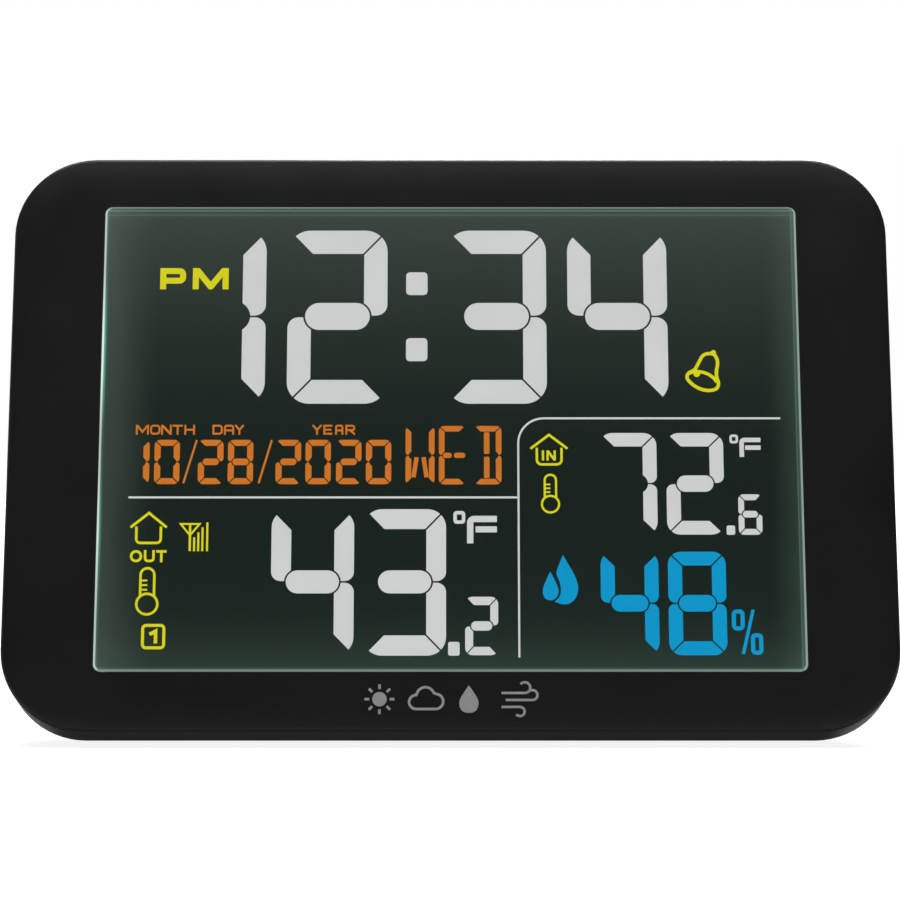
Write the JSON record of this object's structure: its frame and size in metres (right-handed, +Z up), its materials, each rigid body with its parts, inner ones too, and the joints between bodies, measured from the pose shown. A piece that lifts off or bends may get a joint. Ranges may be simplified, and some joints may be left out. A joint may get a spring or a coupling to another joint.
{
  "type": "home weather station",
  "caption": "Desk or wall weather station with a large segment display in a rounded dark bezel, folding leg, rear buttons, battery bay and power socket.",
  "frame": {"origin": "bottom centre of the whole object's box, on the table, with the leg open", "axes": "+X to the right along the width, +Y rearwards, +Z up; the display faces -Y and leans back 17 degrees"},
  "size_m": [0.2168, 0.0648, 0.1425],
  "materials": {
    "case_plastic": "fine grain",
    "cover_plastic": "coarser grain",
    "button_plastic": "satin",
    "plunger_plastic": "moulded",
    "clear_acrylic": "polished",
    "foam": "foam",
    "polarizer_film": "film",
    "lcd_glass": "polished",
    "light_guide_acrylic": "polished",
    "white_film": "film",
    "white_plastic": "moulded",
    "lamp_white": "moulded",
    "circuit_board": "solder mask",
    "chip_black": "moulded",
    "sensor_white": "moulded",
    "part_mixed": "sleeved",
    "rubber": "matte",
    "contact_rubber": "silicone",
    "steel": "zinc plated",
    "nickel": "nickel plated",
    "brass": "gilt",
    "copper_wire": "bare",
    "cell_sleeve": "printed sleeve",
    "lead_red": "satin",
    "lead_black": "satin",
    "ink_white": "lit segment",
    "ink_orange": "lit segment",
    "ink_yellow": "lit segment",
    "ink_blue": "lit segment",
    "print_silver": "silver print"
  },
  "bodies": {
    "root": {"antenna_wire": "copper_wire", "backlight_leds": "lamp_white", "backlight_strip": "circuit_board", "battery_1": "cell_sleeve", "battery_2": "cell_sleeve", "battery_3": "cell_sleeve", "battery_lead_black": "lead_black", "battery_lead_red": "lead_red", "battery_plates": "nickel", "battery_springs": "nickel", "board_parts": "part_mixed", "board_screws": "steel", "button_switches": "chip_black", "buzzer": "chip_black", "case_screws": "steel", "controller_chip": "chip_black", "dc_jack": "chip_black", "diffuser_film": "white_film", "display_lens": "clear_acrylic", "foot_left": "rubber", "foot_right": "rubber", "front_bezel": "case_plastic", "front_polarizer": "polarizer_film", "hinge_pin_left": "steel", "hinge_pin_right": "steel", "humidity_sensor": "sensor_white", "jack_contact_pin": "nickel", "lcd_frame": "white_plastic", "lcd_front_glass": "lcd_glass", "lcd_rear_glass": "lcd_glass", "lens_gasket": "foam", "light_guide": "light_guide_acrylic", "main_board": "circuit_board", "quartz_crystal": "steel", "rear_cover": "cover_plastic", "rear_polarizer": "polarizer_film", "receiver_board": "circuit_board", "receiver_header": "brass", "reflector_sheet": "white_film", "sensor_board": "circuit_board", "sensor_header": "brass", "zebra_strips": "contact_rubber"},
    "stand": {"stand_leg": "cover_plastic", "stand_foot": "rubber"},
    "door": {"battery_door": "cover_plastic"},
    "snooze": {"snooze_button": "button_plastic", "snooze_plunger": "plunger_plastic"},
    "button_left_low": {"button_left_low": "button_plastic", "plunger_left_low": "plunger_plastic"},
    "button_left_mid": {"button_left_mid": "button_plastic", "plunger_left_mid": "plunger_plastic"},
    "button_left_high": {"button_left_high": "button_plastic", "plunger_left_high": "plunger_plastic"},
    "button_right_low": {"button_right_low": "button_plastic", "plunger_right_low": "plunger_plastic"},
    "button_right_mid": {"button_right_mid": "button_plastic", "plunger_right_mid": "plunger_plastic"},
    "button_right_high": {"button_right_high": "button_plastic", "plunger_right_high": "plunger_plastic"}
  },
  "joints": [
    {"name": "stand_hinge", "type": "hinge", "parent": "root", "child": "stand", "pos_m": [0, 0.00618, 0.04873], "axis": [-1, 0, 0], "range_deg": [0, 35.86]},
    {"name": "battery_door_hinge", "type": "hinge", "parent": "root", "child": "door", "pos_m": [0, 0.01089, 0.0578], "axis": [-1, 0, 0], "range_deg": [0, 75]},
    {"name": "snooze_press", "type": "slide", "parent": "root", "child": "snooze", "axis": [0, -0.2924, -0.9563], "range_m": [0, 0.0005], "stiffness_N_per_m": 900, "springref_m": -0.0006},
    {"name": "button_left_low_press", "type": "slide", "parent": "root", "child": "button_left_low", "axis": [0, -0.9563, 0.2924], "range_m": [0, 0.0006], "stiffness_N_per_m": 800, "springref_m": -0.0006},
    {"name": "button_left_mid_press", "type": "slide", "parent": "root", "child": "button_left_mid", "axis": [0, -0.9563, 0.2924], "range_m": [0, 0.0006], "stiffness_N_per_m": 800, "springref_m": -0.0006},
    {"name": "button_left_high_press", "type": "slide", "parent": "root", "child": "button_left_high", "axis": [0, -0.9563, 0.2924], "range_m": [0, 0.0006], "stiffness_N_per_m": 800, "springref_m": -0.0006},
    {"name": "button_right_low_press", "type": "slide", "parent": "root", "child": "button_right_low", "axis": [0, -0.9563, 0.2924], "range_m": [0, 0.0006], "stiffness_N_per_m": 800, "springref_m": -0.0006},
    {"name": "button_right_mid_press", "type": "slide", "parent": "root", "child": "button_right_mid", "axis": [0, -0.9563, 0.2924], "range_m": [0, 0.0006], "stiffness_N_per_m": 800, "springref_m": -0.0006},
    {"name": "button_right_high_press", "type": "slide", "parent": "root", "child": "button_right_high", "axis": [0, -0.9563, 0.2924], "range_m": [0, 0.0006], "stiffness_N_per_m": 800, "springref_m": -0.0006}
  ]
}
